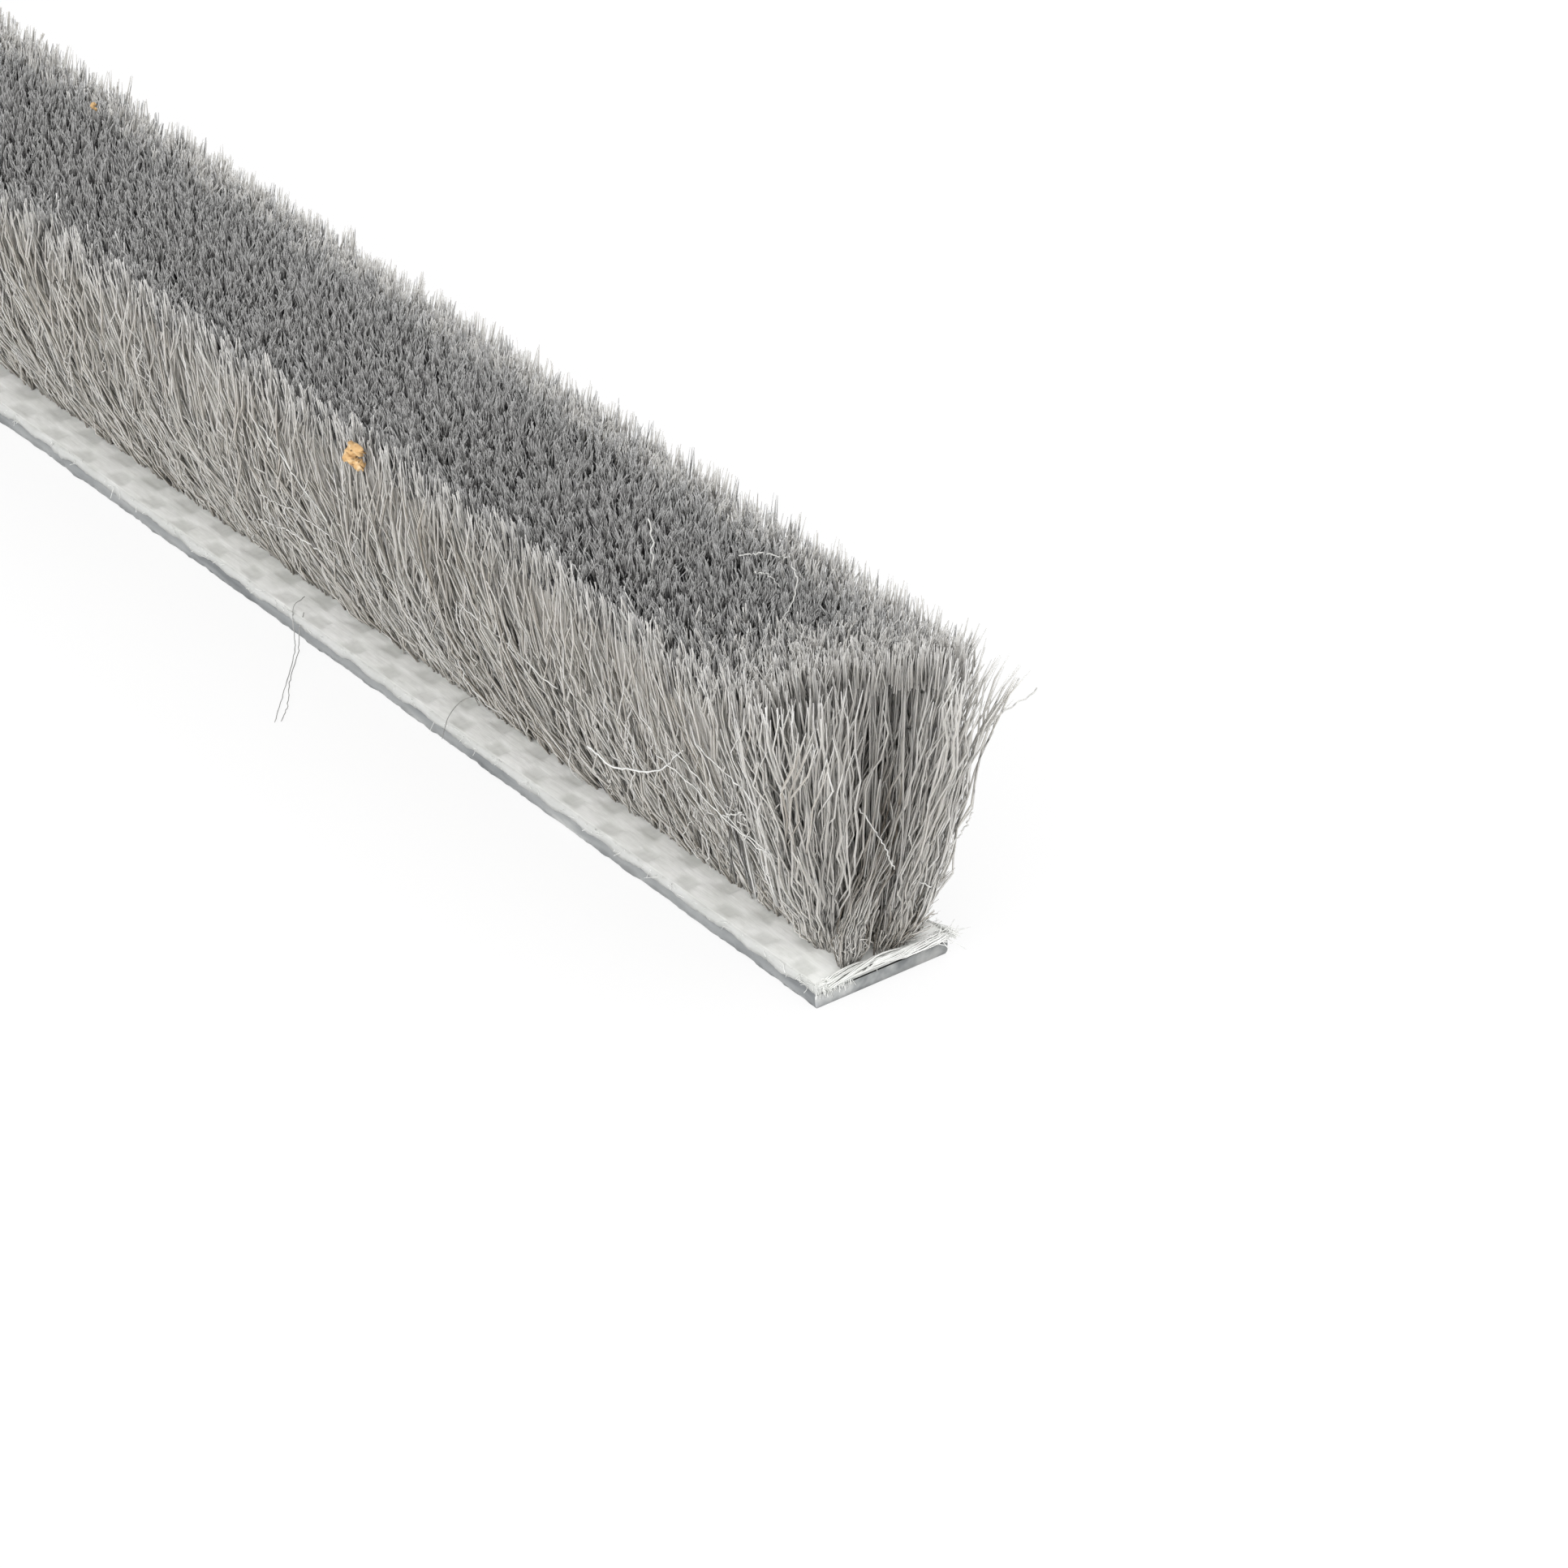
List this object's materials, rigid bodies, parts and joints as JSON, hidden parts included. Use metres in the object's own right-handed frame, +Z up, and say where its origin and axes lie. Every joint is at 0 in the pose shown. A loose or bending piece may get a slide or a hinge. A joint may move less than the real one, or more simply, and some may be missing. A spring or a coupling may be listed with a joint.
{
  "type": "brush seal strip",
  "caption": "Straight pile weatherstrip: a flared brush of fibres woven into a flat tape on a plastic film, with bare edges that slide into a slot to seal the gap at a sliding door or window.",
  "frame": {"origin": "middle of the strip's underside, halfway along its length and across its width", "axes": "+X along the strip, +Y across it, +Z up out of the underside towards the fibre tips"},
  "size_m": [1.0008, 0.0106, 0.0151],
  "materials": {
    "base_film": "satin, slightly cloudy grey polypropylene",
    "woven_tape": "matt off-white polypropylene weave",
    "pile": "matt grey crimped fibre"
  },
  "bodies": {
    "root": {"base_film": "base_film", "woven_tape": "woven_tape", "pile": "pile"}
  },
  "joints": []
}
